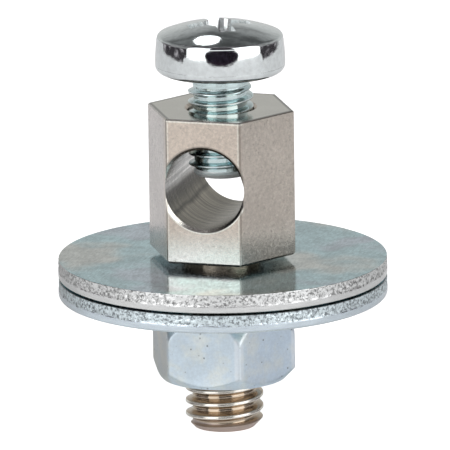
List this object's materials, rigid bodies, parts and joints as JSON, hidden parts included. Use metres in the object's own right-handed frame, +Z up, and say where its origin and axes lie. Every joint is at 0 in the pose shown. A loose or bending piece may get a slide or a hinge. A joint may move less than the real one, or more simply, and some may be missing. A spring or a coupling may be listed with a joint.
{
  "type": "earthing stud terminal",
  "caption": "Hexagonal block with a cross hole and clamping screw on a threaded stud, held through a panel by large washers, a lock washer and a nut.",
  "frame": {"origin": "centre of the stud's free end", "axes": "+Z up along the stud to the screw's head, Y along the conductor bore"},
  "size_m": [0.025, 0.025, 0.0314],
  "materials": {
    "nickel_plated_brass": "nickel plated, turned and milled, satin",
    "bright_zinc_steel": "bright blue zinc plated",
    "zinc_sheet_steel": "blue zinc plated sheet, sheared edge",
    "zinc_spring_steel": "zinc plated spring steel",
    "dull_zinc_steel": "dull blue zinc plated"
  },
  "bodies": {
    "terminal": {"clamp_body": "nickel_plated_brass"},
    "screw": {"clamping_screw": "bright_zinc_steel"},
    "washers": {"upper_washer": "zinc_sheet_steel", "lower_washer": "zinc_sheet_steel", "lock_washer": "zinc_spring_steel"},
    "nut": {"hex_nut": "dull_zinc_steel"}
  },
  "joints": [
    {"name": "screw_travel", "type": "slide", "parent": "terminal", "child": "screw", "axis": [0, 0, 1], "range_m": [-0.00255, 0.004]},
    {"name": "washer_travel", "type": "slide", "parent": "terminal", "child": "washers", "axis": [0, 0, 1], "range_m": [-0.003, 0.0004]},
    {"name": "nut_turn", "type": "hinge", "parent": "washers", "child": "nut", "pos_m": [0, 0, 0.00637], "axis": [0, 0, 1], "range_deg": [-1090, 150]}
  ],
  "couplings": [
    {"joint": "nut_turn", "follows": "washer_travel", "rad_per_m": 6283.2}
  ]
}
